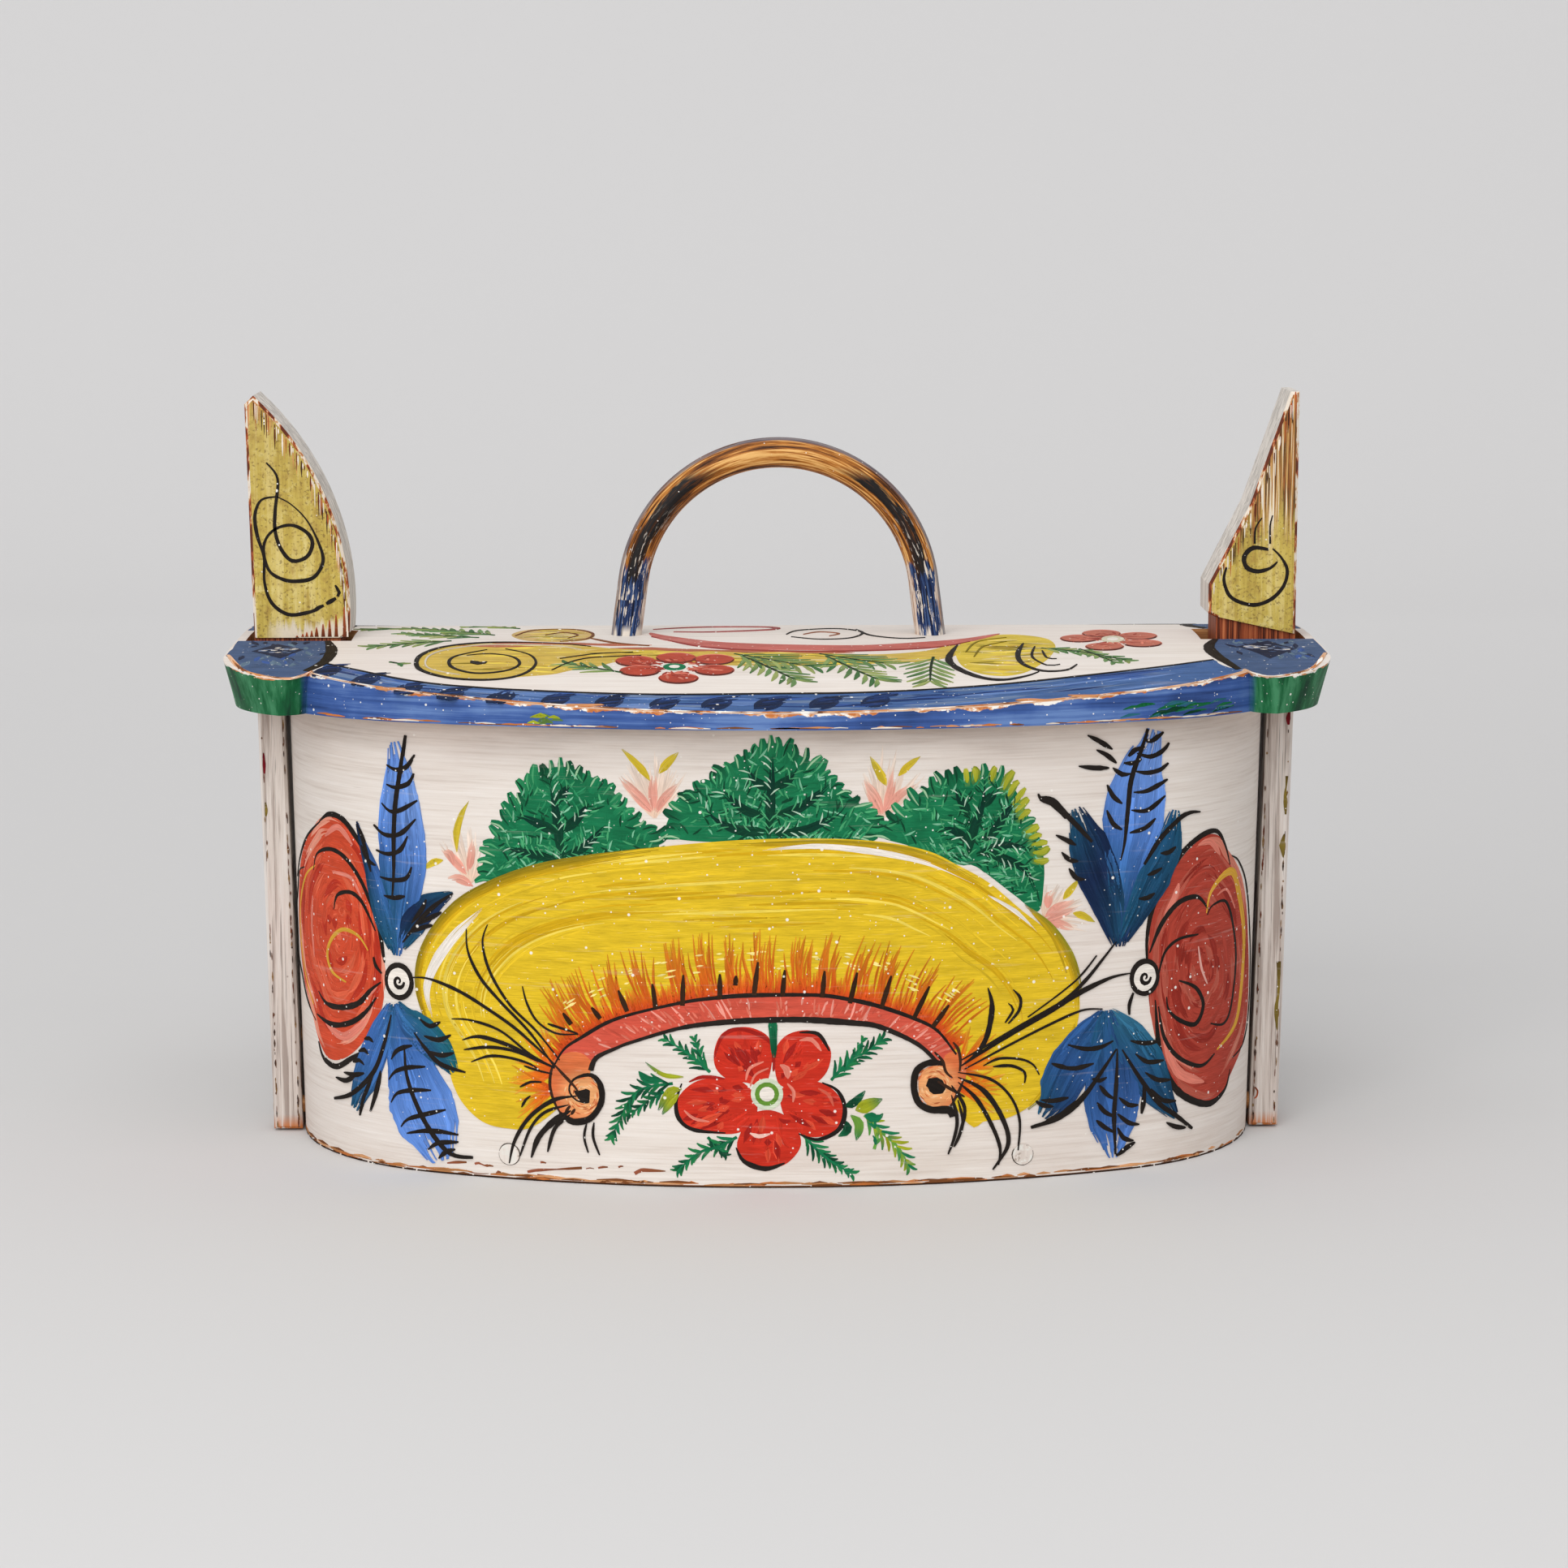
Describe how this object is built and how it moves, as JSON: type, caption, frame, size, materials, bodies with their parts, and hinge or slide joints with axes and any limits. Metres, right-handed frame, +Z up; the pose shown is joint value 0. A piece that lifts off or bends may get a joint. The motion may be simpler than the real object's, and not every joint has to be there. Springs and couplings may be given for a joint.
{
  "type": "bentwood lidded box",
  "caption": "Oval bentwood box with a domed, eared lid held between two springy end posts and carried by a bow handle on the lid.",
  "frame": {"origin": "on the standing surface, under the middle of the base board", "axes": "+X along the box towards the post with the horn-shaped head, -Y towards the painted front, +Z up"},
  "size_m": [0.3704, 0.2158, 0.256],
  "materials": {
    "wall_paint": "satin",
    "lid_paint": "satin",
    "post_paint": "satin",
    "handle_paint": "satin",
    "bare_wood": "matte",
    "root_lace": "matte"
  },
  "bodies": {
    "body": {"base_board": "bare_wood", "body_wall": "wall_paint", "seam_lacing": "root_lace", "base_pegs": "wall_paint"},
    "lid": {"lid_board": "lid_paint", "handle_bow": "handle_paint", "handle_pins": "bare_wood"},
    "left_post": {"left_post": "post_paint", "left_post_pegs": "bare_wood"},
    "right_post": {"right_post": "post_paint", "right_post_pegs": "bare_wood"}
  },
  "joints": [
    {"name": "lid_lift", "type": "slide", "parent": "body", "child": "lid", "axis": [0, 0, 1], "range_m": [0, 0.115]},
    {"name": "left_post_flex", "type": "hinge", "parent": "body", "child": "left_post", "pos_m": [-0.1648, 0, 0.0083], "axis": [0, -1, 0], "range_deg": [-0.4, 0.9], "stiffness_Nm_per_rad": 40},
    {"name": "right_post_flex", "type": "hinge", "parent": "body", "child": "right_post", "pos_m": [0.1648, 0, 0.0083], "axis": [0, 1, 0], "range_deg": [-0.4, 0.9], "stiffness_Nm_per_rad": 40}
  ]
}
